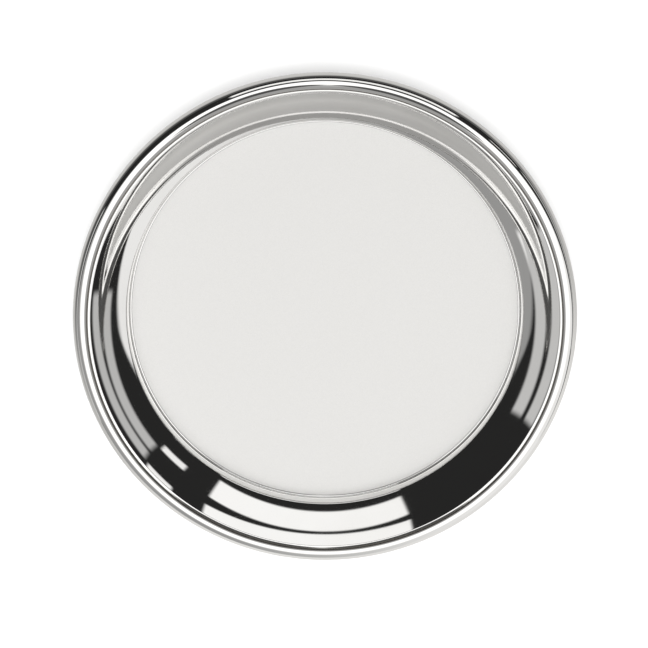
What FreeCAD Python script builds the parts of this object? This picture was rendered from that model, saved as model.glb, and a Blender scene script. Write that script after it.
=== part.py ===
"""Paten plate: a spun dish with a hollow half-round rim moulding and a low foot ring.

Millimetres, +Z up, origin on the axis at the underside of the foot ring.
Every size is a cell of the sheet "sizes"; the sketches and features are bound to those cells.
"""
import FreeCAD, Part
import math
import os

import Sketcher

# name, value, what it is (millimetres, and degrees where the name ends in slope or angle)
DRIVING = [
    ("overall_diameter", 254.0, "outside of the rim"),
    ("rim_roll", 6.5, "outside radius of the half-round rim moulding"),
    ("rim_sheet", 1.0, "thickness of the rim moulding"),
    ("rim_centre_rise", 17.6, "centre of the rim's half-round above the floor of the dish"),
    ("rim_end_angle", 190.0, "where the moulding stops, from the top of its half-round"),
    ("crease_set", 0.5, "rim's inner ridge inwards of the middle of its half-round"),
    ("border_width", 29.0, "from the outside of the rim in to the satin floor"),
    ("plate_sheet", 1.0, "thickness of the dish"),
    ("shoulder_drop", 0.15, "steepest line of the wall below the centre of the rim"),
    ("wall_gain_angle", 4.83, "how much steeper than its mean the wall gets"),
    ("shoulder_gain_angle", 3.76, "how much flatter than its steepest line the wall's upper part is"),
    ("riser_slope", 80.0, "slope of the small step round the floor"),
    ("riser_share", 0.386364, "height of that step as a share of the rim centre's rise"),
    ("riser_toe", 1.2, "inside radius at the foot of the step"),
    ("riser_round", 2.0, "radius over the top of the step"),
    ("lip_bend", 0.6, "radius where the wall turns over into its lip"),
    ("lip_angle", 68.0, "where the lip stops, from the top of the rim's half-round"),
    ("rim_solder_leg", 1.1, "leg of the solder fillet under the lip"),
    ("foot_diameter", 176.0, "outside of the foot ring"),
    ("foot_width", 3.2, "width of the foot ring"),
    ("foot_rise", 2.6, "height of the foot ring"),
    ("foot_round", 0.7, "rounding of the foot ring's lower edges"),
    ("foot_solder_leg", 0.8, "leg of the solder fillets along the foot ring"),
]

# name, formula
DERIVED = [
    ("crease_inset", "rim_roll + crease_set"),
    ("riser_rise", "riser_share * rim_centre_rise"),
    ("rim_centre_run", "overall_diameter / 2 - rim_roll"),
    ("floor_level", "foot_rise + plate_sheet"),
    ("floor_run", "overall_diameter / 2 - border_width"),
    ("rim_centre_level", "floor_level + rim_centre_rise"),
    ("crease_run", "overall_diameter / 2 - crease_inset"),
    ("crease_level", "rim_centre_level + sqrt(rim_roll ^ 2 - (crease_run - rim_centre_run) ^ 2)"),
    ("wall_level", "rim_centre_level - shoulder_drop"),
    ("mean_rise", "crease_level - floor_level - riser_rise"),
    ("mean_run", "border_width - crease_inset - 0.41 * riser_rise"),
    ("wall_slope", "atan(mean_rise / mean_run) / 1 deg + wall_gain_angle"),
    ("shoulder_run", "(crease_level - wall_level) / tan((wall_slope - shoulder_gain_angle) * 1 deg)"),
    ("wall_run", "crease_run - shoulder_run"),
    ("ridge_slope", "2 * atan((crease_level - wall_level) / shoulder_run) / 1 deg - wall_slope"),
    ("lip_roll", "rim_roll - rim_sheet"),
    ("foot_run", "foot_diameter / 2"),
]


def make_sheet(doc):
    """The sheet of driving and derived sizes."""
    sheet = doc.addObject("Spreadsheet::Sheet", "sizes")
    for row, (name, value, note) in enumerate(DRIVING, start=1):
        sheet.set("A%d" % row, name)
        sheet.set("B%d" % row, str(value))
        sheet.set("C%d" % row, note)
        sheet.setAlias("B%d" % row, name)
    doc.recompute()
    for row, (name, formula) in enumerate(DERIVED, start=len(DRIVING) + 1):
        sheet.set("A%d" % row, name)
        sheet.set("B%d" % row, "=" + formula)
        sheet.setAlias("B%d" % row, name)
        doc.recompute()
    return sheet


def read_sizes(sheet):
    """Every cell as a plain number, by name."""
    names = [row[0] for row in DRIVING + DERIVED]
    cells = {name: getattr(sheet, name) for name in names}
    return {name: float(getattr(cell, "Value", cell)) for name, cell in cells.items()}


def flat(run, level):
    """A point of a section: distance from the axis, height."""
    return FreeCAD.Vector(run, level, 0)


def ray(degrees, length):
    """A step of a given length, at an angle above the run axis."""
    return flat(length * math.cos(math.radians(degrees)), length * math.sin(math.radians(degrees)))


def arc_to(start, slope, end, side):
    """Radius, centre and end slope of the arc that leaves start at a slope and meets end.

    side is 1 for an arc hollow to its upper left, and -1 for one that bulges there.
    """
    chord = end - start
    chord_slope = math.degrees(math.atan2(abs(chord.y), abs(chord.x)))
    turn = 2 * (slope - chord_slope)
    radius = chord.Length / (2 * math.sin(math.radians(abs(turn) / 2)))
    return radius, start + ray(slope + 90 * side, radius), slope - turn


class Section:
    """A sketch of a section, with its dimensions bound to the sheet."""

    def __init__(self, sketch):
        self.sketch = sketch

    def line(self, start, end, construction=False):
        return self.sketch.addGeometry(Part.LineSegment(start, end), construction)

    def arc(self, centre, radius, first, last):
        """An arc run counter-clockwise from first to last, in degrees from the run axis."""
        circle = Part.Circle(centre, FreeCAD.Vector(0, 0, 1), radius)
        return self.sketch.addGeometry(
            Part.ArcOfCircle(circle, math.radians(first), math.radians(last)), False)

    def tie(self, kind, *where):
        return self.sketch.addConstraint(Sketcher.Constraint(kind, *where))

    def size(self, formula, kind, *where):
        """A dimension that follows a formula of the sheet's cells."""
        now = self.sketch.evalExpression(formula).Value
        if kind == "Angle":
            now = math.radians(now)
        index = self.sketch.addConstraint(Sketcher.Constraint(kind, *where, now))
        self.sketch.setExpression("Constraints[%d]" % index, formula)
        return index

    def place(self, geometry, end, run, level):
        """Both coordinates of a point, each a formula."""
        self.size(run, "DistanceX", -1, 1, geometry, end)
        self.size(level, "DistanceY", -1, 1, geometry, end)


def step_size(sizes, cove_slope):
    """First guess of the step round the floor: its run and rise up to a cove that begins at a slope."""
    slope, start = math.radians(sizes["riser_slope"]), math.radians(cove_slope)
    toe_rise = sizes["riser_toe"] * (1 - math.cos(slope))
    round_rise = sizes["riser_round"] * (math.cos(start) - math.cos(slope))
    round_run = sizes["riser_round"] * (math.sin(slope) - math.sin(start))
    straight = (sizes["riser_rise"] - toe_rise - round_rise) / math.tan(slope)
    return flat(sizes["riser_toe"] * math.sin(slope) + round_run + straight, sizes["riser_rise"])


def ridge_angle(sizes):
    """Where the rim's ridge lies round its half-round, in degrees from the run axis."""
    return math.degrees(math.acos((sizes["crease_run"] - sizes["rim_centre_run"]) / sizes["rim_roll"]))


def stand_upright(sketch):
    """Turns a free sketch so that its second axis points up."""
    sketch.Placement = FreeCAD.Placement(FreeCAD.Vector(), FreeCAD.Rotation(FreeCAD.Vector(1, 0, 0), 90))


def plate_line(doc, sheet):
    """Upper face of the dish as one open line: floor, step, cove, shoulder, bend and lip."""
    sizes = read_sizes(sheet)
    sketch = doc.addObject("Sketcher::SketchObject", "plate_line")
    stand_upright(sketch)
    section = Section(sketch)

    floor_edge = flat(sizes["floor_run"], sizes["floor_level"])
    steepest = flat(sizes["wall_run"], sizes["wall_level"])
    rim_centre = flat(sizes["rim_centre_run"], sizes["rim_centre_level"])
    ridge = flat(sizes["crease_run"], sizes["crease_level"])

    toe_centre = floor_edge + flat(0, sizes["riser_toe"])
    toe_end = toe_centre + ray(sizes["riser_slope"] - 90, sizes["riser_toe"])
    cove_slope = sizes["riser_slope"] / 2
    for _ in range(8):
        step_top = floor_edge + step_size(sizes, cove_slope)
        cove_radius, cove_centre, cove_slope = arc_to(steepest, sizes["wall_slope"], step_top, 1)
    shoulder_radius, shoulder_centre, edge_slope = arc_to(steepest, sizes["wall_slope"], ridge, -1)
    round_centre = step_top - ray(cove_slope + 90, sizes["riser_round"])
    riser_top = round_centre + ray(sizes["riser_slope"] + 90, sizes["riser_round"])
    bend_top = rim_centre + ray(ridge_angle(sizes), sizes["lip_roll"])
    bend_centre = bend_top - ray(ridge_angle(sizes), sizes["lip_bend"])

    floor = section.line(flat(0, sizes["floor_level"]), floor_edge)
    toe = section.arc(toe_centre, sizes["riser_toe"], -90, sizes["riser_slope"] - 90)
    riser = section.line(toe_end, riser_top)
    top = section.arc(round_centre, sizes["riser_round"], cove_slope + 90, sizes["riser_slope"] + 90)
    cove = section.arc(cove_centre, cove_radius, cove_slope - 90, sizes["wall_slope"] - 90)
    shoulder = section.arc(shoulder_centre, shoulder_radius, edge_slope + 90, sizes["wall_slope"] + 90)
    bend = section.arc(bend_centre, sizes["lip_bend"], ridge_angle(sizes), edge_slope + 90)
    lip = section.arc(rim_centre, sizes["lip_roll"], 90 - sizes["lip_angle"], ridge_angle(sizes))
    tangent = section.line(steepest, steepest + ray(sizes["wall_slope"], sizes["riser_rise"]), True)

    section.tie("Horizontal", floor)
    section.place(floor, 1, "0 mm", "sizes.floor_level * 1 mm")
    section.size("sizes.floor_run * 1 mm", "DistanceX", -1, 1, floor, 2)
    for first, first_end, second, second_end in (
            (floor, 2, toe, 1), (toe, 2, riser, 1), (riser, 2, top, 2), (top, 1, cove, 1),
            (cove, 2, tangent, 1), (shoulder, 2, tangent, 1), (shoulder, 1, bend, 2), (bend, 1, lip, 2)):
        section.tie("Tangent", first, first_end, second, second_end)
    section.size("sizes.riser_toe * 1 mm", "Radius", toe)
    section.size("sizes.riser_slope * 1 deg", "Angle", riser)
    section.size("sizes.riser_round * 1 mm", "Radius", top)
    section.size("(sizes.floor_level + sizes.riser_rise) * 1 mm", "DistanceY", -1, 1, top, 1)
    section.place(tangent, 1, "sizes.wall_run * 1 mm", "sizes.wall_level * 1 mm")
    section.size("sizes.wall_slope * 1 deg", "Angle", tangent)
    section.size("sizes.riser_rise * 1 mm", "Distance", tangent)
    corner = sketch.addGeometry(Part.Point(ridge), True)
    section.place(corner, 1, "sizes.crease_run * 1 mm", "sizes.crease_level * 1 mm")
    section.tie("PointOnObject", corner, 1, shoulder)
    section.size("sizes.lip_bend * 1 mm", "Radius", bend)
    section.place(lip, 3, "sizes.rim_centre_run * 1 mm", "sizes.rim_centre_level * 1 mm")
    section.size("sizes.lip_roll * 1 mm", "Radius", lip)
    end_run = "(sizes.rim_centre_run + sizes.lip_roll * sin(sizes.lip_angle * 1 deg)) * 1 mm"
    section.size(end_run, "DistanceX", -1, 1, lip, 1)
    return sketch


def plate_body(doc, sheet):
    """The dish: one sheet of metal, its line thickened downwards and spun about the axis."""
    line = plate_line(doc, sheet)
    band = doc.addObject("Part::Offset2D", "plate_band")
    band.Source = line
    band.Mode = "Skin"
    band.Fill = True
    band.Join = "Intersection"
    band.setExpression("Value", "-sizes.plate_sheet * 1 mm")
    dish = doc.addObject("Part::Revolution", "plate_body")
    dish.Source = band
    dish.Axis = FreeCAD.Vector(0, 0, 1)
    dish.Base = FreeCAD.Vector(0, 0, 0)
    dish.Angle = 360
    dish.Solid = True
    return dish


def ring_body(doc, name):
    """A body with one sketch on its upright plane; returns both."""
    body = doc.addObject("PartDesign::Body", name)
    sketch = body.newObject("Sketcher::SketchObject", name + "_section")
    upright = [plane for plane in body.Origin.OriginFeatures if plane.Role == "XZ_Plane"][0]
    sketch.AttachmentSupport = [(upright, "")]
    sketch.MapMode = "FlatFace"
    return body, sketch


def spin(body, sketch):
    """A full turn of the sketch about the upright axis."""
    turn = body.newObject("PartDesign::Revolution", body.Name + "_turn")
    turn.Profile = sketch
    turn.ReferenceAxis = (sketch, ["V_Axis"])
    turn.Angle = 360
    return body


def rim_moulding(doc, sheet):
    """The half-round moulding: a hollow roll whose inner edge runs on from the wall's slope."""
    sizes = read_sizes(sheet)
    body, sketch = ring_body(doc, "rim_moulding")
    section = Section(sketch)
    centre = flat(sizes["rim_centre_run"], sizes["rim_centre_level"])
    ridge = flat(sizes["crease_run"], sizes["crease_level"])
    end_angle = 90 - sizes["rim_end_angle"]
    inner_angle = ridge_angle(sizes) + math.degrees(sizes["rim_sheet"] / sizes["rim_roll"])
    inner_start = centre + ray(inner_angle, sizes["lip_roll"])

    outside = section.arc(centre, sizes["rim_roll"], end_angle, ridge_angle(sizes))
    inside = section.arc(centre, sizes["lip_roll"], end_angle, inner_angle)
    edge = section.line(inner_start, ridge)
    end = section.line(centre + ray(end_angle, sizes["lip_roll"]), centre + ray(end_angle, sizes["rim_roll"]))
    section.tie("Coincident", edge, 1, inside, 2)
    section.tie("Coincident", edge, 2, outside, 2)
    section.tie("Coincident", end, 1, inside, 1)
    section.tie("Coincident", end, 2, outside, 1)
    section.tie("Coincident", inside, 3, outside, 3)
    section.place(outside, 3, "sizes.rim_centre_run * 1 mm", "sizes.rim_centre_level * 1 mm")
    section.size("sizes.rim_roll * 1 mm", "Radius", outside)
    section.size("sizes.lip_roll * 1 mm", "Radius", inside)
    section.size("sizes.crease_run * 1 mm", "DistanceX", -1, 1, outside, 2)
    section.size("sizes.ridge_slope * 1 deg", "Angle", edge)
    section.size("(90 - sizes.rim_end_angle) * 1 deg", "Angle", end)
    return spin(body, sketch)


def closed_ring(doc, name, corners):
    """A ring of straight-sided section; each corner is a pair of formulas with its first guess."""
    body, sketch = ring_body(doc, name)
    section = Section(sketch)
    points = [flat(*guess) for _, _, guess in corners]
    sides = [section.line(points[i], points[(i + 1) % len(points)]) for i in range(len(points))]
    for i, (run, level, _) in enumerate(corners):
        section.tie("Coincident", sides[i - 1], 2, sides[i], 1)
        section.place(sides[i], 1, run, level)
    return spin(body, sketch)


def rim_solder(doc, sheet):
    """The fillet of solder in the corner between the lip's end and the inside of the moulding."""
    sizes = read_sizes(sheet)
    body, sketch = ring_body(doc, "rim_solder")
    section = Section(sketch)
    centre = flat(sizes["rim_centre_run"], sizes["rim_centre_level"])
    lip_end = 90 - sizes["lip_angle"]
    spread = math.degrees(sizes["rim_solder_leg"] / sizes["lip_roll"])
    outer = sizes["lip_roll"]
    corner = centre + ray(lip_end, outer)
    low = centre + ray(lip_end, outer - sizes["plate_sheet"])
    far = centre + ray(lip_end - spread, outer)

    wall = section.arc(centre, outer, lip_end - spread, lip_end)
    face = section.line(corner, low)
    slant = section.line(low, far)
    section.tie("Coincident", face, 1, wall, 2)
    section.tie("Coincident", face, 2, slant, 1)
    section.tie("Coincident", slant, 2, wall, 1)
    section.place(wall, 3, "sizes.rim_centre_run * 1 mm", "sizes.rim_centre_level * 1 mm")
    section.size("sizes.lip_roll * 1 mm", "Radius", wall)
    end_run = "(sizes.rim_centre_run + sizes.lip_roll * sin(sizes.lip_angle * 1 deg)) * 1 mm"
    section.size(end_run, "DistanceX", -1, 1, wall, 2)
    section.size("(270 - sizes.lip_angle) * 1 deg", "Angle", face)
    section.size("sizes.plate_sheet * 1 mm", "Distance", face)
    section.size("sizes.rim_solder_leg * 1 mm", "Distance", wall, 2, wall, 1)
    return spin(body, sketch)


def foot_ring(doc, sheet):
    """The low ring that the dish stands on, its two lower edges rounded."""
    sizes = read_sizes(sheet)
    outer, inner = sizes["foot_run"], sizes["foot_run"] - sizes["foot_width"]
    top = sizes["foot_rise"]
    outer_run, inner_run = "sizes.foot_run * 1 mm", "(sizes.foot_run - sizes.foot_width) * 1 mm"
    top_level = "sizes.foot_rise * 1 mm"
    body = closed_ring(doc, "foot_ring", [
        (inner_run, "0 mm", (inner, 0)), (outer_run, "0 mm", (outer, 0)),
        (outer_run, top_level, (outer, top)), (inner_run, top_level, (inner, top))])
    doc.recompute()
    turn = body.Tip
    lower = [index for index, edge in enumerate(turn.Shape.Edges, start=1)
             if edge.BoundBox.ZMax < top / 2 and edge.BoundBox.ZLength < top / 2
             and edge.BoundBox.XLength > outer]
    rounding = body.newObject("PartDesign::Fillet", "foot_rounding")
    rounding.Base = (turn, ["Edge%d" % index for index in lower])
    rounding.setExpression("Radius", "sizes.foot_round * 1 mm")
    body.Tip = rounding
    return body


def foot_solder(doc, sheet):
    """The two fillets of solder in the corners between the foot ring and the floor."""
    sizes = read_sizes(sheet)
    outer, inner = sizes["foot_run"], sizes["foot_run"] - sizes["foot_width"]
    top, leg = sizes["foot_rise"], sizes["foot_solder_leg"]
    fillets = []
    for side, run, formula, sign in (("outer", outer, "sizes.foot_run", 1),
                                     ("inner", inner, "(sizes.foot_run - sizes.foot_width)", -1)):
        away = formula + (" + " if sign > 0 else " - ") + "sizes.foot_solder_leg"
        fillets.append(closed_ring(doc, "foot_solder_" + side, [
            (formula + " * 1 mm", "sizes.foot_rise * 1 mm", (run, top)),
            ("(" + away + ") * 1 mm", "sizes.foot_rise * 1 mm", (run + sign * leg, top)),
            (formula + " * 1 mm", "(sizes.foot_rise - sizes.foot_solder_leg) * 1 mm", (run, top - leg))]))
    pair = doc.addObject("Part::Compound", "foot_solder")
    pair.Links = fillets
    return pair


def check(doc):
    """Stops on any object that failed to build."""
    for thing in doc.Objects:
        if "Invalid" in thing.State or "Error" in thing.State:
            raise RuntimeError("%s: %s" % (thing.Label, thing.State))


def main():
    doc = FreeCAD.newDocument("paten_plate")
    sheet = make_sheet(doc)
    makers = (plate_body, rim_moulding, rim_solder, foot_ring, foot_solder)
    pieces = [maker(doc, sheet) for maker in makers]
    doc.recompute()
    check(doc)
    os.makedirs("parts", exist_ok=True)
    for maker, piece in zip(makers, pieces):
        piece.Label = maker.__name__
        shape = piece.Shape
        if shape.isNull() or not shape.isValid() or shape.Volume <= 0:
            raise RuntimeError("%s has no valid solid" % piece.Label)
    for piece in pieces:
        piece.Shape.exportStep("parts/%s.step" % piece.Label)
        box = piece.Shape.BoundBox
        print("%-14s solids %d volume %9.1f  z %6.2f .. %6.2f  diameter %7.2f" % (
            piece.Label, len(piece.Shape.Solids), piece.Shape.Volume, box.ZMin, box.ZMax, box.XLength))


main()
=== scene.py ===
"""Paten plate: a spun silver-toned dish with a satin floor, a mirror border and a rolled rim.

Metres, +Z up, the plate's axis at the origin and its foot on the floor plane.
"""

import logging
import math
from dataclasses import dataclass, field
from enum import Enum

import bmesh
import bpy
from mathutils import Matrix, Vector


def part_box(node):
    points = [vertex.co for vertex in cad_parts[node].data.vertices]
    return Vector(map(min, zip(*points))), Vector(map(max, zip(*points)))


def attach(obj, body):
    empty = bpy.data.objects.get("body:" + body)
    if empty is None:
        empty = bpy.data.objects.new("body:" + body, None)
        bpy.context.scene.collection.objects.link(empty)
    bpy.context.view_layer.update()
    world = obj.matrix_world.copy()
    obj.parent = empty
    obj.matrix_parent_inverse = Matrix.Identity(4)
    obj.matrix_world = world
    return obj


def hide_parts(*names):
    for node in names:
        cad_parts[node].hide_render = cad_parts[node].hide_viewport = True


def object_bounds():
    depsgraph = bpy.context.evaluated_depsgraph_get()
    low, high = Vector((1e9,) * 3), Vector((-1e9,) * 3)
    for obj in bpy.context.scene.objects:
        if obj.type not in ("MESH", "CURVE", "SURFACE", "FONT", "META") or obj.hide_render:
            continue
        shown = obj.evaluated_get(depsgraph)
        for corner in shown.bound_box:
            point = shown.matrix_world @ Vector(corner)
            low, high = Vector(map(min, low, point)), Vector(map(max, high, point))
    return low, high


LOG = logging.getLogger("paten_plate")
Socket = bpy.types.NodeSocket
Tone = tuple[float, float, float]
Arc = tuple[tuple[float, float], float, float]
BODY = "root"
MILLIMETRE = 0.001
WELD = 0.002 * MILLIMETRE
CORNER_ANGLE = math.radians(35.0)

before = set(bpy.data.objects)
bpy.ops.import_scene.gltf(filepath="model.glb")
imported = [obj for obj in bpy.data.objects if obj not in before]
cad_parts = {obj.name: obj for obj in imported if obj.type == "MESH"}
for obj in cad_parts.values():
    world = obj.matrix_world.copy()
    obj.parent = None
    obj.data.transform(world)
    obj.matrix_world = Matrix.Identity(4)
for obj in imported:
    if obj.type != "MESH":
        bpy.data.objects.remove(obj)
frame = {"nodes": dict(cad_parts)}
CAD_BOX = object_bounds()


class Pattern(Enum):
    """The marks a finish can carry, each a shared shader group."""

    TURNED = "turned_marks"
    GRAIN = "satin_grain"
    HAIR = "hairlines"


GROUPS: dict[Pattern, bpy.types.NodeTree] = {}


# ---------------------------------------------------------------- sections


@dataclass
class SectionLine:
    """A section drawn as one line, out from the axis and up, with an arc wherever it turns."""

    points: list[Vector] = field(default_factory=list)

    def start(self, run: float, level: float) -> "SectionLine":
        """Puts down the first point."""
        self.points.append(Vector((run, 0.0, level)))
        return self

    def line_to(self, run: float, level: float, steps: int = 1) -> "SectionLine":
        """Runs straight to a point, in equal steps.

        Args:
            run: Distance of the end from the axis.
            level: Height of the end.
            steps: How many equal spans the line has.

        Returns:
            The same line.
        """
        last = self.points[-1].copy()
        end = Vector((run, 0.0, level))
        self.points += [last.lerp(end, step / steps) for step in range(1, steps + 1)]
        return self

    def arc(self, centre: tuple[float, float], radius: float, first: float, last: float,
            steps: int) -> "SectionLine":
        """Runs along an arc about a centre.

        Args:
            centre: Run and level of the centre.
            radius: Radius of the arc.
            first: Angle where it begins, in degrees above the outward direction.
            last: Angle where it ends.
            steps: How many spans the arc has.

        Returns:
            The same line.
        """
        for step in range(1, steps + 1):
            angle = math.radians(first + (last - first) * step / steps)
            run = centre[0] + radius * math.cos(angle)
            self.points.append(Vector((run, 0.0, centre[1] + radius * math.sin(angle))))
        return self


def bend_between(start: Vector, slope: float, end: Vector,
                 side: int) -> tuple[tuple[float, float], float, float]:
    """The arc that leaves start at a slope, falling inwards, and meets end.

    Args:
        start: Where the slope is known.
        slope: Slope there, in degrees.
        end: The point that the arc meets.
        side: 1 for an arc hollow to its upper inner side, -1 for one that bulges there.

    Returns:
        The centre, the radius, and the slope at the end.
    """
    chord = end - start
    turn = 2.0 * (slope - math.degrees(math.atan2(abs(chord.z), abs(chord.x))))
    radius = chord.length / (2.0 * math.sin(math.radians(abs(turn)) / 2.0))
    angle = math.radians(slope + 90.0 * side)
    centre = (start.x + radius * math.cos(angle), start.z + radius * math.sin(angle))
    return centre, radius, slope - turn


def spin_section(name: str, outline: list[Vector], turns: int, closed: bool) -> bpy.types.Object:
    """Spins a section about the axis into a closed piece with smooth faces.

    Args:
        name: Name of the piece.
        outline: Section points in order.
        turns: How many spans the full turn has.
        closed: Whether the last point joins the first.

    Returns:
        The piece, linked to the scene.
    """
    mesh = bmesh.new()
    verts = [mesh.verts.new(point) for point in outline]
    pairs = list(zip(verts, verts[1:])) + ([(verts[-1], verts[0])] if closed else [])
    edges = [mesh.edges.new(pair) for pair in pairs]
    bmesh.ops.spin(mesh, geom=verts + edges, cent=(0, 0, 0), axis=(0, 0, 1), dvec=(0, 0, 0),
                   angle=math.tau, steps=turns, use_merge=True, use_duplicate=False)
    bmesh.ops.remove_doubles(mesh, verts=mesh.verts, dist=WELD)
    bmesh.ops.recalc_face_normals(mesh, faces=mesh.faces)
    data = bpy.data.meshes.new(name)
    mesh.to_mesh(data)
    mesh.free()
    piece = bpy.data.objects.new(name, data)
    bpy.context.scene.collection.objects.link(piece)
    shade_smooth(piece)
    return piece


def shade_smooth(piece: bpy.types.Object) -> None:
    """Shades a piece smooth but for its real corners.

    Args:
        piece: The piece to shade.
    """
    piece.data.polygons.foreach_set("use_smooth", [True] * len(piece.data.polygons))
    piece.data.set_sharp_from_angle(angle=CORNER_ANGLE)


# ---------------------------------------------------------------- finishes


def new_group(name: str, inputs: dict[str, float], outputs: dict[str, str]) -> bpy.types.NodeTree:
    """A shader node group with number inputs and named outputs.

    Args:
        name: Name of the group.
        inputs: Each input's name and first value.
        outputs: Each output's name and socket type.

    Returns:
        The group's tree, with one input node and one output node.
    """
    tree = bpy.data.node_groups.new(name, "ShaderNodeTree")
    for label, value in inputs.items():
        socket = tree.interface.new_socket(label, in_out="INPUT", socket_type="NodeSocketFloat")
        socket.default_value = value
    for label, kind in outputs.items():
        tree.interface.new_socket(label, in_out="OUTPUT", socket_type=kind)
    tree.nodes.new("NodeGroupInput")
    tree.nodes.new("NodeGroupOutput")
    return tree


class Nodes:
    """Short ways to add and join nodes in one tree."""

    def __init__(self, tree: bpy.types.NodeTree) -> None:
        """Keeps the tree."""
        self.tree = tree

    def add(self, kind: str, **values) -> bpy.types.Node:
        """Adds a node and sets its properties.

        Args:
            kind: Node type.
            **values: Properties, by name.

        Returns:
            The node.
        """
        node = self.tree.nodes.new(kind)
        for label, value in values.items():
            setattr(node, label, value)
        return node

    def join(self, source: Socket, target: Socket) -> None:
        """Links an output to an input."""
        self.tree.links.new(source, target)

    def feed(self, value: Socket | float, target: Socket) -> None:
        """Sets an input to a number, or links it to an output."""
        if isinstance(value, (int, float)):
            target.default_value = value
        else:
            self.join(value, target)

    def noise(self, vector: Socket, scale: Socket | float, detail: float, rough: float) -> Socket:
        """Noise over a vector.

        Args:
            vector: Where it is read.
            scale: Cells per metre, an output or a number.
            detail: Octaves.
            rough: Strength of the finer octaves.

        Returns:
            The noise value.
        """
        node = self.add("ShaderNodeTexNoise", noise_dimensions="3D")
        self.feed(scale, node.inputs["Scale"])
        node.inputs["Detail"].default_value = detail
        node.inputs["Roughness"].default_value = rough
        self.join(vector, node.inputs["Vector"])
        return node.outputs["Fac"]

    def remap(self, value: Socket, low: float, high: float, to_low: float,
              to_high: float) -> Socket:
        """A value carried smoothly from one range to another.

        Args:
            value: What is carried.
            low: Start of its range.
            high: End of its range.
            to_low: What the start becomes.
            to_high: What the end becomes.

        Returns:
            The new value.
        """
        node = self.add("ShaderNodeMapRange", interpolation_type="SMOOTHSTEP")
        for label, number in (("From Min", low), ("From Max", high), ("To Min", to_low), ("To Max", to_high)):
            node.inputs[label].default_value = number
        self.join(value, node.inputs["Value"])
        return node.outputs["Result"]

    def math(self, kind: str, first: Socket, second: Socket | float = 0.0) -> Socket:
        """One step of arithmetic.

        Args:
            kind: The operation.
            first: Its first value.
            second: Its second value, an output or a number, where it takes one.

        Returns:
            The result.
        """
        node = self.add("ShaderNodeMath", operation=kind)
        self.join(first, node.inputs[0])
        self.feed(second, node.inputs[1])
        return node.outputs[0]


def axis_place(use: Nodes) -> tuple[Socket, Socket]:
    """Where a point of the surface lies about the plate's axis.

    Args:
        use: The tree to add to.

    Returns:
        Its distance from the axis and its height.
    """
    parts = use.add("ShaderNodeSeparateXYZ")
    use.join(use.add("ShaderNodeTexCoord").outputs["Object"], parts.inputs[0])
    across = use.math("MULTIPLY", parts.outputs["X"], parts.outputs["X"])
    along = use.math("MULTIPLY", parts.outputs["Y"], parts.outputs["Y"])
    return use.math("SQRT", use.math("ADD", across, along)), parts.outputs["Z"]


def turned_group() -> bpy.types.NodeTree:
    """Fine rings left by polishing on the lathe, as a height and a mask.

    Returns:
        The group, with inputs Rings and Depth and outputs Height and Mask.
    """
    tree = new_group(Pattern.TURNED.value, {"Rings": 900.0, "Depth": 1.0},
                     {"Height": "NodeSocketFloat", "Mask": "NodeSocketFloat"})
    use = Nodes(tree)
    source, sink = tree.nodes[0], tree.nodes[1]
    run, height = axis_place(use)
    rings = use.math("MULTIPLY", run, source.outputs["Rings"])
    level = use.math("MULTIPLY", height, source.outputs["Rings"])
    spot = use.add("ShaderNodeCombineXYZ")
    use.join(rings, spot.inputs["X"])
    use.join(level, spot.inputs["Y"])
    grain = use.noise(spot.outputs[0], 1.0, 3.0, 0.6)
    use.join(use.math("MULTIPLY", grain, source.outputs["Depth"]), sink.inputs["Height"])
    use.join(grain, sink.inputs["Mask"])
    return tree


def grain_group() -> bpy.types.NodeTree:
    """The even, directionless grain of a blasted satin, with faint handling marks.

    Returns:
        The group, with inputs Grain and Marks and outputs Height and Mask.
    """
    tree = new_group(Pattern.GRAIN.value, {"Grain": 4200.0, "Marks": 26.0},
                     {"Height": "NodeSocketFloat", "Mask": "NodeSocketFloat"})
    use = Nodes(tree)
    source, sink = tree.nodes[0], tree.nodes[1]
    place = use.add("ShaderNodeTexCoord").outputs["Object"]
    use.join(use.noise(place, source.outputs["Grain"], 2.0, 0.7), sink.inputs["Height"])
    use.join(use.noise(place, source.outputs["Marks"], 4.0, 0.55), sink.inputs["Mask"])
    return tree


def scratch_group() -> bpy.types.NodeTree:
    """Hairline scratches from use and cleaning, as a thin mask.

    Returns:
        The group, with input Scale and output Mask.
    """
    tree = new_group(Pattern.HAIR.value, {"Scale": 55.0}, {"Mask": "NodeSocketFloat"})
    use = Nodes(tree)
    source, sink = tree.nodes[0], tree.nodes[1]
    place = use.add("ShaderNodeTexCoord").outputs["Object"]
    masks = []
    for turn in (0.4, 1.7, 2.6):
        move = use.add("ShaderNodeMapping")
        move.inputs["Rotation"].default_value = (0.0, 0.0, turn)
        move.inputs["Scale"].default_value = (1.0, 22.0, 4.0)
        use.join(place, move.inputs["Vector"])
        value = use.noise(move.outputs["Vector"], source.outputs["Scale"], 2.0, 0.5)
        masks.append(use.remap(value, 0.68, 0.74, 0.0, 1.0))
    both = use.math("MAXIMUM", masks[0], masks[1])
    use.join(use.math("MAXIMUM", both, masks[2]), sink.inputs["Mask"])
    return tree


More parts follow.
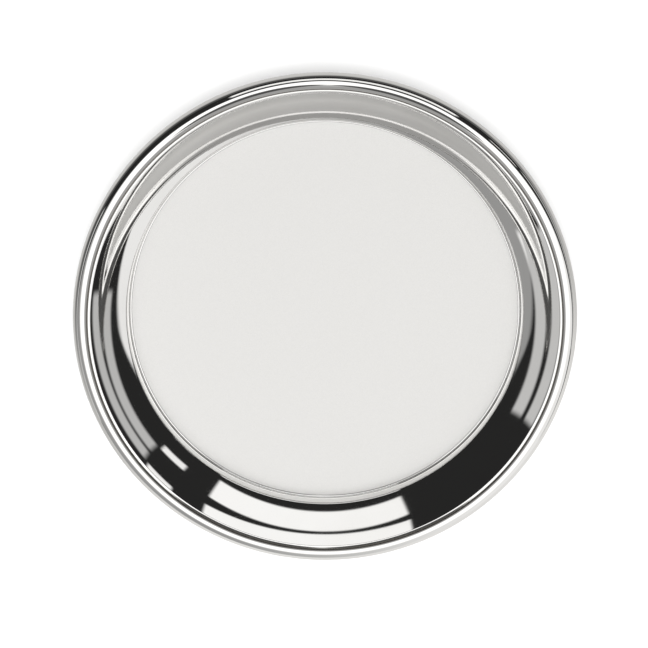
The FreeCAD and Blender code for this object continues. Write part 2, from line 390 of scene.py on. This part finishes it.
@dataclass(frozen=True)
class Metal:
    """One metal finish, a mirror polish unless told otherwise."""

    name: str
    tone: Tone = (0.93, 0.925, 0.915)
    shade: Tone = (0.9, 0.893, 0.88)
    rough: float = 0.025
    rough_spread: float = 0.02
    rings: float = 700.0
    ring_depth: float = 0.05
    ring_height: float = 0.02 * MILLIMETRE
    scratch_rough: float = 0.03

    def build(self) -> bpy.types.Material:
        """The finish as a material.

        Returns:
            A material whose roughness, tone and fine relief vary over the surface.
        """
        material = bpy.data.materials.new(self.name)
        material.use_nodes = True
        use = Nodes(material.node_tree)
        shader = material.node_tree.nodes["Principled BSDF"]
        shader.inputs["Metallic"].default_value = 1.0
        marks = use.add("ShaderNodeGroup", node_tree=GROUPS[Pattern.GRAIN])
        turned = use.add("ShaderNodeGroup", node_tree=GROUPS[Pattern.TURNED])
        turned.inputs["Rings"].default_value = self.rings
        hair = use.add("ShaderNodeGroup", node_tree=GROUPS[Pattern.HAIR])
        self.tint(use, marks.outputs["Mask"], shader)
        spread = use.remap(marks.outputs["Mask"], 0.3, 0.7, self.rough, self.rough + self.rough_spread)
        scratched = use.math("MULTIPLY", hair.outputs["Mask"], self.scratch_rough)
        use.join(use.math("ADD", spread, scratched), shader.inputs["Roughness"])
        bump = use.add("ShaderNodeBump")
        bump.inputs["Strength"].default_value = self.ring_depth
        bump.inputs["Distance"].default_value = self.ring_height
        use.join(turned.outputs["Height"], bump.inputs["Height"])
        use.join(bump.outputs["Normal"], shader.inputs["Normal"])
        return material

    def tint(self, use: Nodes, mask: Socket, shader: bpy.types.Node) -> None:
        """Lets the tone drift between two close greys.

        Args:
            use: The material's tree.
            mask: Where the shade lies.
            shader: The shader that takes the colour.
        """
        mix = use.add("ShaderNodeMix", data_type="RGBA")
        mix.inputs["A"].default_value = (*self.tone, 1.0)
        mix.inputs["B"].default_value = (*self.shade, 1.0)
        use.join(use.remap(mask, 0.35, 0.75, 0.0, 1.0), mix.inputs["Factor"])
        use.join(mix.outputs["Result"], shader.inputs["Base Color"])


@dataclass(frozen=True)
class JointedMetal(Metal):
    """A mirror finish with a fine dark line where its inner edge meets the next piece."""

    joint_run: float = 0.12
    joint_width: float = 0.3 * MILLIMETRE
    joint_tone: Tone = (0.2, 0.19, 0.175)

    def build(self) -> bpy.types.Material:
        """The mirror finish with its dark line.

        Returns:
            The material.
        """
        material = super().build()
        use = Nodes(material.node_tree)
        run, _ = axis_place(use)
        inner, outer = self.joint_run + 0.5 * self.joint_width, self.joint_run + self.joint_width
        near = use.remap(run, inner, outer, 1.0, 0.0)
        socket = material.node_tree.nodes["Principled BSDF"].inputs["Base Color"]
        mix = use.add("ShaderNodeMix", data_type="RGBA")
        use.join(near, mix.inputs["Factor"])
        use.join(socket.links[0].from_socket, mix.inputs["A"])
        mix.inputs["B"].default_value = (*self.joint_tone, 1.0)
        use.join(mix.outputs["Result"], socket)
        return material


@dataclass(frozen=True)
class TwoFinishMetal(Metal):
    """A mirror finish whose floor, inside a given radius, is blasted to an even satin."""

    satin_run: float = 0.098
    satin_level: float = 0.0
    satin_rough: float = 0.5
    satin_tone: Tone = (0.98, 0.974, 0.96)
    satin_graze: Tone = (0.06, 0.06, 0.06)
    satin_edge: float = 0.25 * MILLIMETRE
    speck_dim: float = 0.955
    speck_cells: float = 2600.0
    grain_depth: float = 0.5
    grain_height: float = 0.01 * MILLIMETRE

    def build(self) -> bpy.types.Material:
        """The mirror finish with its satin floor.

        Returns:
            The material.
        """
        material = super().build()
        tree = material.node_tree
        use = Nodes(tree)
        shader = tree.nodes["Principled BSDF"]
        inside = self.floor_mask(use)
        self.blend_number(use, shader.inputs["Roughness"], inside)
        self.blend_tone(use, shader.inputs["Base Color"], inside)
        self.blend_graze(use, shader.inputs["Specular Tint"], inside)
        self.add_grain(use, shader, inside)
        return material

    def floor_mask(self, use: Nodes) -> Socket:
        """One on the satin floor and nought beyond it or on the underside.

        Args:
            use: The material's tree.

        Returns:
            The mask.
        """
        run, height = axis_place(use)
        disc = use.remap(run, self.satin_run - self.satin_edge, self.satin_run, 1.0, 0.0)
        low = self.satin_level - 0.4 * MILLIMETRE
        above = use.remap(height, low, low + 0.2 * MILLIMETRE, 0.0, 1.0)
        return use.math("MULTIPLY", disc, above)

    def blend_number(self, use: Nodes, socket: Socket, inside: Socket) -> None:
        """Swaps a socket's number for the satin's own where the mask is one.

        Args:
            use: The material's tree.
            socket: The shader's socket, already linked.
            inside: The mask.
        """
        before = socket.links[0].from_socket
        marks = use.add("ShaderNodeGroup", node_tree=GROUPS[Pattern.GRAIN])
        low, high = self.satin_rough - 0.015, self.satin_rough + 0.02
        satin = use.remap(marks.outputs["Mask"], 0.25, 0.75, low, high)
        mix = use.add("ShaderNodeMix", data_type="FLOAT")
        use.join(inside, mix.inputs["Factor"])
        use.join(before, mix.inputs["A"])
        use.join(satin, mix.inputs["B"])
        use.join(mix.outputs["Result"], socket)

    def blend_tone(self, use: Nodes, socket: Socket, inside: Socket) -> None:
        """Swaps the tone for the satin's where the mask is one, speckled by its grain.

        Args:
            use: The material's tree.
            socket: The shader's colour socket, already linked.
            inside: The mask.
        """
        before = socket.links[0].from_socket
        grain = use.add("ShaderNodeGroup", node_tree=GROUPS[Pattern.GRAIN])
        grain.inputs["Grain"].default_value = self.speck_cells
        speck = use.add("ShaderNodeMix", data_type="RGBA")
        speck.inputs["A"].default_value = (*[self.speck_dim * value for value in self.satin_tone], 1.0)
        speck.inputs["B"].default_value = (*self.satin_tone, 1.0)
        use.join(use.remap(grain.outputs["Height"], 0.35, 0.65, 0.0, 1.0), speck.inputs["Factor"])
        mix = use.add("ShaderNodeMix", data_type="RGBA")
        use.join(inside, mix.inputs["Factor"])
        use.join(before, mix.inputs["A"])
        use.join(speck.outputs["Result"], mix.inputs["B"])
        use.join(mix.outputs["Result"], socket)

    def blend_graze(self, use: Nodes, socket: Socket, inside: Socket) -> None:
        """Darkens the satin towards a grazing view, as its pits shade one another.

        Args:
            use: The material's tree.
            socket: The shader's edge tint.
            inside: The mask.
        """
        mix = use.add("ShaderNodeMix", data_type="RGBA")
        mix.inputs["A"].default_value = (1.0, 1.0, 1.0, 1.0)
        mix.inputs["B"].default_value = (*self.satin_graze, 1.0)
        use.join(inside, mix.inputs["Factor"])
        use.join(mix.outputs["Result"], socket)

    def add_grain(self, use: Nodes, shader: bpy.types.Node, inside: Socket) -> None:
        """Adds the satin's grain to the fine relief.

        Args:
            use: The material's tree.
            shader: The shader that takes the normal.
            inside: The mask.
        """
        grain = use.add("ShaderNodeGroup", node_tree=GROUPS[Pattern.GRAIN])
        bump = use.add("ShaderNodeBump")
        bump.inputs["Strength"].default_value = self.grain_depth
        bump.inputs["Distance"].default_value = self.grain_height
        use.join(use.math("MULTIPLY", grain.outputs["Height"], inside), bump.inputs["Height"])
        use.join(shader.inputs["Normal"].links[0].from_socket, bump.inputs["Normal"])
        use.join(bump.outputs["Normal"], shader.inputs["Normal"])


# ---------------------------------------------------------------- the plate


@dataclass
class RimMoulding:
    """The hollow half-round moulding that caps the dish."""

    node: str = "rim_moulding"
    sheet: float = 1.0 * MILLIMETRE
    crease_inset: float = 7.0 * MILLIMETRE
    ridge_round: float = 0.14 * MILLIMETRE
    end_angle: float = -100.0
    spans: int = 320

    @property
    def outside(self) -> float:
        """Outside radius of the rim."""
        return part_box(self.node)[1].x

    @property
    def roll(self) -> float:
        """Radius of the half-round, whose centre is where the moulding is widest."""
        low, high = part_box(self.node)
        return (high.z - low.z) / 2.0

    @property
    def centre(self) -> tuple[float, float]:
        """Run and level of the half-round's centre."""
        return self.outside - self.roll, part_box(self.node)[1].z - self.roll

    @property
    def ridge(self) -> Vector:
        """The crisp inner edge."""
        run = self.outside - self.crease_inset
        rise = math.sqrt(self.roll ** 2 - (run - self.centre[0]) ** 2)
        return Vector((run, 0.0, self.centre[1] + rise))

    def build(self) -> bpy.types.Object:
        """Makes the moulding and gives it its mirror finish.

        Returns:
            The piece.
        """
        start = math.degrees(math.acos((self.ridge.x - self.centre[0]) / self.roll))
        inner_start = start + math.degrees(self.sheet / self.roll)
        line = SectionLine().start(self.ridge.x, self.ridge.z)
        line.arc(self.centre, self.roll, start, self.end_angle, 72)
        line.arc(self.centre, self.roll - self.sheet, self.end_angle, inner_start, 56)
        piece = spin_section("rim_roll", line.points, self.spans, True)
        round_corners(piece, self.ridge_round)
        finish = JointedMetal("mirror_rim", joint_run=self.ridge.x)
        piece.data.materials.append(finish.build())
        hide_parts(self.node)
        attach(piece, BODY)
        return piece


def round_corners(piece: bpy.types.Object, width: float) -> None:
    """Rounds a piece's real corners a little, as polishing does.

    Args:
        piece: The piece to change.
        width: Width of the rounding.
    """
    mesh = bmesh.new()
    mesh.from_mesh(piece.data)
    sharp = [edge for edge in mesh.edges
             if len(edge.link_faces) == 2 and edge.calc_face_angle() > CORNER_ANGLE]
    bmesh.ops.bevel(mesh, geom=sharp, offset=width, offset_type="OFFSET", affect="EDGES", segments=3,
                    profile=0.5, material=-1, clamp_overlap=True)
    mesh.to_mesh(piece.data)
    mesh.free()
    shade_smooth(piece)


@dataclass(frozen=True)
class WallArcs:
    """The hollow cove below the wall's steepest line, from the step's top, and the shoulder above it."""

    top: Vector
    cove: Arc
    shoulder: Arc


@dataclass
class Dish:
    """The spun dish: satin floor, step, cove, shoulder and the lip under the rim."""

    rim: RimMoulding
    node: str = "plate_body"
    border: float = 29.0 * MILLIMETRE
    sheet: float = 1.0 * MILLIMETRE
    shoulder_run: float = 7.1 * MILLIMETRE
    shoulder_drop: float = 0.15 * MILLIMETRE
    wall_slope: float = 46.8
    step_slope: float = 80.0
    step_rise: float = 6.8 * MILLIMETRE
    toe: float = 1.2 * MILLIMETRE
    step_round: float = 2.0 * MILLIMETRE
    lip_angle: float = 68.0
    spans: int = 320

    @property
    def floor_level(self) -> float:
        """Height of the floor's upper face."""
        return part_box(self.node)[0].z + self.sheet

    @property
    def floor_run(self) -> float:
        """Radius of the floor."""
        return self.rim.outside - self.border

    def step_top(self, cove_slope: float) -> Vector:
        """Where the cove begins over the step, for a given slope there.

        Args:
            cove_slope: Slope at the top of the step, in degrees.

        Returns:
            The point.
        """
        steep, top = math.radians(self.step_slope), math.radians(cove_slope)
        rise = self.step_rise - self.toe * (1 - math.cos(steep))
        rise -= self.step_round * (math.cos(top) - math.cos(steep))
        run = self.toe * math.sin(steep) + self.step_round * (math.sin(steep) - math.sin(top))
        run += rise / math.tan(steep)
        return Vector((self.floor_run + run, 0.0, self.floor_level + self.step_rise))

    def wall(self) -> WallArcs:
        """Works out the cove and the shoulder about the wall's steepest line.

        Returns:
            Both arcs and the step's top.
        """
        run, level = self.rim.ridge.x - self.shoulder_run, self.rim.centre[1] - self.shoulder_drop
        steepest = Vector((run, 0.0, level))
        slope = self.step_slope / 2.0
        for _ in range(12):
            top = self.step_top(slope)
            cove = bend_between(steepest, self.wall_slope, top, 1)
            slope = cove[2]
        shoulder = bend_between(steepest, self.wall_slope, self.rim.ridge, -1)
        return WallArcs(top, cove, shoulder)

    def section(self) -> tuple[list[Vector], float]:
        """The dish's closed section, upper face outwards and then the lower face back.

        Returns:
            The section and the slope of the wall at the rim's ridge.
        """
        wall = self.wall()
        upper = self.face(wall, 0.0)
        lower = self.face(wall, self.sheet)
        return upper + lower[::-1], wall.shoulder[2]

    def face(self, wall: WallArcs, depth: float) -> list[Vector]:
        """One face of the dish, a given depth below its upper face.

        Args:
            wall: The wall's arcs.
            depth: Nought for the upper face, the sheet's thickness for the lower one.

        Returns:
            The face's points from the axis out.
        """
        level = self.floor_level
        steep = self.step_slope
        cove_centre, cove_radius, cove_slope = wall.cove
        shoulder_centre, shoulder_radius, _ = wall.shoulder
        rim_centre = self.rim.centre
        lip_roll = self.rim.roll - self.rim.sheet - depth
        line = SectionLine().start(0.0, level - depth)
        line.line_to(self.floor_run, level - depth, 24)
        line.arc((self.floor_run, level + self.toe), self.toe + depth, -90.0, steep - 90.0, 14)
        first, last = math.radians(steep + 90.0), math.radians(cove_slope + 90.0)
        round_run = wall.top.x - self.step_round * math.cos(last)
        round_level = wall.top.z - self.step_round * math.sin(last)
        radius = self.step_round - depth
        line.line_to(round_run + radius * math.cos(first), round_level + radius * math.sin(first), 4)
        line.arc((round_run, round_level), radius, steep + 90.0, cove_slope + 90.0, 12)
        line.arc(cove_centre, cove_radius + depth, cove_slope - 90.0, self.wall_slope - 90.0, 40)
        meet = self.meet_angle(shoulder_centre, shoulder_radius - depth, rim_centre, lip_roll)
        line.arc(shoulder_centre, shoulder_radius - depth, self.wall_slope + 90.0, meet[0], 30)
        line.arc(rim_centre, lip_roll, meet[1], 90.0 - self.lip_angle, 24)
        return line.points

    @staticmethod
    def meet_angle(first: tuple[float, float], first_radius: float, second: tuple[float, float],
                   second_radius: float) -> tuple[float, float]:
        """Where the shoulder's arc runs into the lip's arc.

        Args:
            first: Centre of the shoulder.
            first_radius: Its radius.
            second: Centre of the rim.
            second_radius: Radius of the lip.

        Returns:
            The angle about each centre, in degrees.
        """
        gap = Vector((second[0] - first[0], second[1] - first[1]))
        along = (gap.length_squared + first_radius ** 2 - second_radius ** 2) / (2.0 * gap.length)
        height = math.sqrt(max(first_radius ** 2 - along ** 2, 0.0))
        unit = gap.normalized()
        options = []
        for side in (1.0, -1.0):
            run = first[0] + unit.x * along - side * unit.y * height
            level = first[1] + unit.y * along + side * unit.x * height
            options.append((run, level))
        run, level = max(options, key=lambda option: option[1])
        return (math.degrees(math.atan2(level - first[1], run - first[0])),
                math.degrees(math.atan2(level - second[1], run - second[0])))

    def build(self) -> tuple[bpy.types.Object, float]:
        """Makes the dish and gives it both its finishes.

        Returns:
            The piece and the slope of its wall at the rim.
        """
        outline, ridge_slope = self.section()
        piece = spin_section("dish", outline, self.spans, False)
        finish = TwoFinishMetal("mirror_and_satin", satin_run=self.floor_run, satin_level=self.floor_level)
        piece.data.materials.append(finish.build())
        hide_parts(self.node)
        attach(piece, BODY)
        return piece, ridge_slope


@dataclass
class Foot:
    """The foot ring and the solder, which keep the shapes they have and get their own finishes."""

    ring_finish: Metal = Metal("foot_polish", tone=(0.86, 0.855, 0.84), shade=(0.76, 0.75, 0.73), rough=0.12,
                               rough_spread=0.1, rings=900.0, ring_depth=0.2, scratch_rough=0.12)
    solder_finish: Metal = Metal("solder", tone=(0.68, 0.68, 0.67), shade=(0.55, 0.55, 0.53), rough=0.34,
                                 rough_spread=0.16, rings=400.0, ring_depth=0.5, scratch_rough=0.1)

    def dress(self, nodes: dict[str, bpy.types.Object]) -> None:
        """Gives each kept node its finish.

        Args:
            nodes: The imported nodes, by name.
        """
        ring, solder = self.ring_finish.build(), self.solder_finish.build()
        for name, material in (("foot_ring", ring), ("foot_solder", solder), ("rim_solder", solder)):
            for slot in nodes[name].material_slots:
                slot.material = material
            LOG.info("dressed %s with %s", name, material.name)


# ---------------------------------------------------------------- the studio


@dataclass(frozen=True)
class Panel:
    """A soft panel of light far off in one direction.

    Its sides are compass directions about the plate and angles down from straight above, in degrees.
    """

    turn: float
    half_width: float
    top: float
    foot: float
    light: float
    lean: float = 0.0
    soft: float = 1.6

    def build(self, use: Nodes, ray: Socket, polar: Socket) -> Socket:
        """The panel's light over all directions.

        Args:
            use: The room's tree.
            ray: Direction that is looked in.
            polar: Its angle down from straight above.

        Returns:
            The light.
        """
        turned = use.add("ShaderNodeVectorRotate", rotation_type="Z_AXIS")
        turned.inputs["Angle"].default_value = -math.radians(self.turn)
        use.join(ray, turned.inputs["Vector"])
        parts = use.add("ShaderNodeSeparateXYZ")
        use.join(turned.outputs[0], parts.inputs[0])
        swing = use.math("ARCTAN2", parts.outputs["Y"], parts.outputs["X"])
        swing = use.math("MULTIPLY", swing, 180.0 / math.pi)
        aside = use.math("ABSOLUTE", swing)
        across = use.remap(aside, self.half_width - self.soft, self.half_width + self.soft, 1.0, 0.0)
        leaning = use.math("ADD", polar, use.math("MULTIPLY", swing, self.lean))
        below = use.remap(leaning, self.top - self.soft, self.top + self.soft, 0.0, 1.0)
        above = use.remap(leaning, self.foot - self.soft, self.foot + self.soft, 1.0, 0.0)
        shape = use.math("MULTIPLY", use.math("MULTIPLY", across, below), above)
        return use.math("MULTIPLY", shape, self.light)


@dataclass(frozen=True)
class Gap:
    """A round gap in the cloth overhead, where a stand or the lens looks through."""

    turn: float
    polar: float
    outer: float
    inner: float
    depth: float

    def build(self, use: Nodes, ray: Socket) -> Socket:
        """How much of the cloth's light is left.

        Args:
            use: The room's tree.
            ray: Direction that is looked in.

        Returns:
            One away from the gap, less inside it.
        """
        turn, lean = math.radians(self.turn), math.radians(self.polar)
        level = math.sin(lean)
        toward = use.add("ShaderNodeVectorMath", operation="DOT_PRODUCT")
        use.join(ray, toward.inputs[0])
        toward.inputs[1].default_value = (level * math.cos(turn), level * math.sin(turn), math.cos(lean))
        outer, inner = (math.cos(math.radians(angle)) for angle in (self.outer, self.inner))
        return use.remap(toward.outputs["Value"], outer, inner, 1.0, 1.0 - self.depth)


@dataclass(frozen=True)
class Canopy:
    """The wide white cloth stretched overhead: it ends short in front and runs down to the floor behind."""

    middle: float = 1.22
    left: float = 0.3
    right: float = 0.85
    front: float = 1.18
    corner_inner: float = 2.45
    corner_outer: float = 3.3
    lean: float = 0.5
    edge_soft: float = 0.1
    sides: tuple[float, float] = (-0.4, 0.6)
    fade: tuple[float, float] = (44.0, 60.0)
    least_rise: float = 0.02
    least_side: float = 0.01
    gaps: tuple[Gap, ...] = (Gap(270.0, 7.0, 17.0, 11.0, 0.72), Gap(50.0, 16.0, 11.0, 8.5, 0.95),
                             Gap(126.0, 16.0, 11.0, 8.5, 0.95))

    def build(self, use: Nodes, ray: Socket, polar: Socket) -> Socket:
        """The cloth's light over all directions.

        Args:
            use: The room's tree.
            ray: Direction that is looked in.
            polar: Its angle down from straight above.

        Returns:
            The light.
        """
        parts = use.add("ShaderNodeSeparateXYZ")
        use.join(ray, parts.inputs[0])
        up = use.math("MAXIMUM", parts.outputs["Z"], self.least_rise)
        along = use.math("DIVIDE", parts.outputs["Y"], up)
        aside = use.math("ABSOLUTE", use.math("DIVIDE", parts.outputs["X"], up))
        corner = use.remap(use.math("ADD", aside, along), self.corner_inner, self.corner_outer, 1.0, 0.0)
        slant = use.math("ADD", along, use.math("MULTIPLY", aside, self.lean))
        edge = use.remap(slant, self.front - self.edge_soft, self.front + self.edge_soft, 1.0, 0.0)
        fall = use.math("MULTIPLY", polar, math.pi / 180.0)
        level = use.math("MAXIMUM", use.math("SINE", fall), self.least_side)
        side = use.math("DIVIDE", parts.outputs["X"], level)
        outer = use.remap(side, *self.sides, self.left, self.right)
        far = use.remap(polar, *self.fade, 0.0, 1.0)
        bright = use.add("ShaderNodeMix", data_type="FLOAT")
        use.join(far, bright.inputs["Factor"])
        bright.inputs["A"].default_value = self.middle
        use.join(outer, bright.inputs["B"])
        shape = use.math("MULTIPLY", use.math("MULTIPLY", corner, edge), bright.outputs["Result"])
        for gap in self.gaps:
            shape = use.math("MULTIPLY", shape, gap.build(use, ray))
        return shape


@dataclass
class Studio:
    """Pale floor, soft panels and the camera."""

    camera_tilt: float = 15.0
    camera_reach: float = 2.54
    frame_height: float = 0.3265
    aim_drop: float = 0.0065
    shift: tuple[float, float] = (-0.0015, -0.0075)
    dark: float = 0.02
    floor_reach: float = 6.0
    floor_dim: float = 0.08
    floor_lit: float = 0.8
    floor_near: float = 0.6
    near_fade: tuple[float, float] = (0.15, 0.24)
    lift_size: float = 4.0
    lift_height: float = 2.6
    lift_power: float = 90.0
    canopy: Canopy = Canopy()
    panels: tuple[Panel, ...] = (
        Panel(84.0, 34.2, 60.0, 74.9, 0.98, soft=0.8),
        Panel(192.0, 26.0, 78.5, 87.5, 0.54, lean=-0.2, soft=1.3),
        Panel(2.0, 24.0, 79.0, 85.6, 0.48, lean=0.2, soft=1.3),
        Panel(33.0, 5.0, 68.2, 72.4, 0.9, lean=0.2, soft=0.8),
    )

    def build(self) -> None:
        """Sets the floor, the light, the room and the camera."""
        self.floor()
        self.lift()
        self.room()
        self.camera()
        bpy.context.scene.view_settings.view_transform = "Standard"

    def floor(self) -> None:
        """A wide pale floor under the plate; glossy rays see a painted glow on it instead of its lit face."""
        mesh = bmesh.new()
        bmesh.ops.create_grid(mesh, x_segments=1, y_segments=1, size=self.floor_reach)
        data = bpy.data.meshes.new("studio_floor")
        mesh.to_mesh(data)
        mesh.free()
        floor = bpy.data.objects.new("studio_floor", data)
        bpy.context.scene.collection.objects.link(floor)
        material = bpy.data.materials.new("pale_floor")
        material.use_nodes = True
        shader = material.node_tree.nodes["Principled BSDF"]
        shader.inputs["Base Color"].default_value = (0.93, 0.93, 0.93, 1.0)
        shader.inputs["Roughness"].default_value = 0.9
        shader.inputs["Specular IOR Level"].default_value = 0.0
        use = Nodes(material.node_tree)
        # painted light: glossy rays see this glow, so the metal mirrors a painted brightness and a painted
        # shadow behind the plate
        painted_glow = use.add("ShaderNodeEmission")
        painted_glow.inputs["Color"].default_value = (1.0, 0.99, 0.97, 1.0)
        use.join(self.painted_floor_light(use), painted_glow.inputs["Strength"])
        pick = use.add("ShaderNodeMixShader")
        use.join(use.add("ShaderNodeLightPath").outputs["Is Glossy Ray"], pick.inputs[0])
        use.join(shader.outputs[0], pick.inputs[1])
        use.join(painted_glow.outputs[0], pick.inputs[2])
        use.join(pick.outputs[0], material.node_tree.nodes["Material Output"].inputs["Surface"])
        data.materials.append(material)

    def painted_floor_light(self, use: Nodes) -> Socket:
        """The floor as the metal mirrors it, a painted glow with painted shade: lit towards the open side,
        dim behind the plate.

        Args:
            use: The floor's material tree.

        Returns:
            The light.
        """
        spot = use.add("ShaderNodeTexCoord").outputs["Object"]
        toward = use.add("ShaderNodeVectorMath", operation="NORMALIZE")
        use.join(spot, toward.inputs[0])
        parts = use.add("ShaderNodeSeparateXYZ")
        use.join(toward.outputs["Vector"], parts.inputs[0])
        side = use.math("SUBTRACT", use.math("MULTIPLY", parts.outputs["X"], 0.35), parts.outputs["Y"])
        away = use.add("ShaderNodeVectorMath", operation="LENGTH")
        use.join(spot, away.inputs[0])
        near = use.remap(away.outputs["Value"], *self.near_fade, self.floor_near, 0.0)
        return use.math("MAXIMUM", near, use.remap(side, -0.7, 0.9, self.floor_dim, self.floor_lit))

    def lift(self) -> None:
        """A broad light from above that metal doesn't mirror, to keep the floor pale."""
        data = bpy.data.lights.new("floor_lift", "AREA")
        data.shape = "DISK"
        data.size = self.lift_size
        data.energy = self.lift_power
        light = bpy.data.objects.new("floor_lift", data)
        light.location = (0.0, 0.0, self.lift_height)
        light.visible_camera = False
        light.visible_glossy = False
        bpy.context.scene.collection.objects.link(light)

    def room(self) -> None:
        """A dark room with the canopy and the panels in it; the camera itself sees a plain pale wall."""
        world = bpy.data.worlds.new("room")
        world.use_nodes = True
        tree = world.node_tree
        use = Nodes(tree)
        ray = use.add("ShaderNodeTexCoord").outputs["Generated"]
        parts = use.add("ShaderNodeSeparateXYZ")
        use.join(ray, parts.inputs[0])
        polar = use.math("MULTIPLY", use.math("ARCCOSINE", parts.outputs["Z"]), 180.0 / math.pi)
        total = use.math("ADD", self.canopy.build(use, ray, polar), self.dark)
        for panel in self.panels:
            total = use.math("ADD", total, panel.build(use, ray, polar))
        lit = tree.nodes["Background"]
        lit.inputs["Color"].default_value = (1.0, 0.995, 0.985, 1.0)
        use.join(total, lit.inputs["Strength"])
        wall = use.add("ShaderNodeBackground")
        wall.inputs["Color"].default_value = (0.9, 0.9, 0.9, 1.0)
        pick = use.add("ShaderNodeMixShader")
        path = use.add("ShaderNodeLightPath")
        plain = use.math("MAXIMUM", path.outputs["Is Camera Ray"], path.outputs["Is Diffuse Ray"])
        use.join(plain, pick.inputs[0])
        use.join(lit.outputs[0], pick.inputs[1])
        use.join(wall.outputs[0], pick.inputs[2])
        use.join(pick.outputs[0], tree.nodes["World Output"].inputs["Surface"])
        bpy.context.scene.world = world

    def camera(self) -> None:
        """A long lens high over the plate, a little behind it, its top towards +Y."""
        _, high = CAD_BOX
        tilt = math.radians(self.camera_tilt)
        target = Vector((0.0, 0.0, high[2] - self.aim_drop))
        away = Vector((0.0, math.sin(tilt), math.cos(tilt)))
        data = bpy.data.cameras.new("camera")
        data.sensor_width = 36.0
        data.lens = data.sensor_width * self.camera_reach / self.frame_height
        data.clip_end = 50.0
        data.shift_x, data.shift_y = self.shift
        camera = bpy.data.objects.new("camera", data)
        right, up = Vector((1.0, 0.0, 0.0)), Vector((0.0, math.cos(tilt), -math.sin(tilt)))
        turn = Matrix((right, up, away)).transposed().to_4x4()
        camera.matrix_world = Matrix.Translation(target + away * self.camera_reach) @ turn
        bpy.context.scene.collection.objects.link(camera)
        bpy.context.scene.camera = camera


def main() -> None:
    """Builds the plate's pieces, dresses them and sets the studio."""
    logging.basicConfig(level=logging.INFO, format="%(name)s: %(message)s")
    GROUPS.update({Pattern.TURNED: turned_group(), Pattern.GRAIN: grain_group(),
                   Pattern.HAIR: scratch_group()})
    rim = RimMoulding()
    dish, ridge_slope = Dish(rim).build()
    LOG.info("built %s, wall at the ridge %.1f degrees", dish.name, ridge_slope)
    moulding = rim.build()
    LOG.info("built %s", moulding.name)
    Foot().dress(frame["nodes"])
    Studio().build()


if __name__ == "__main__":
    main()
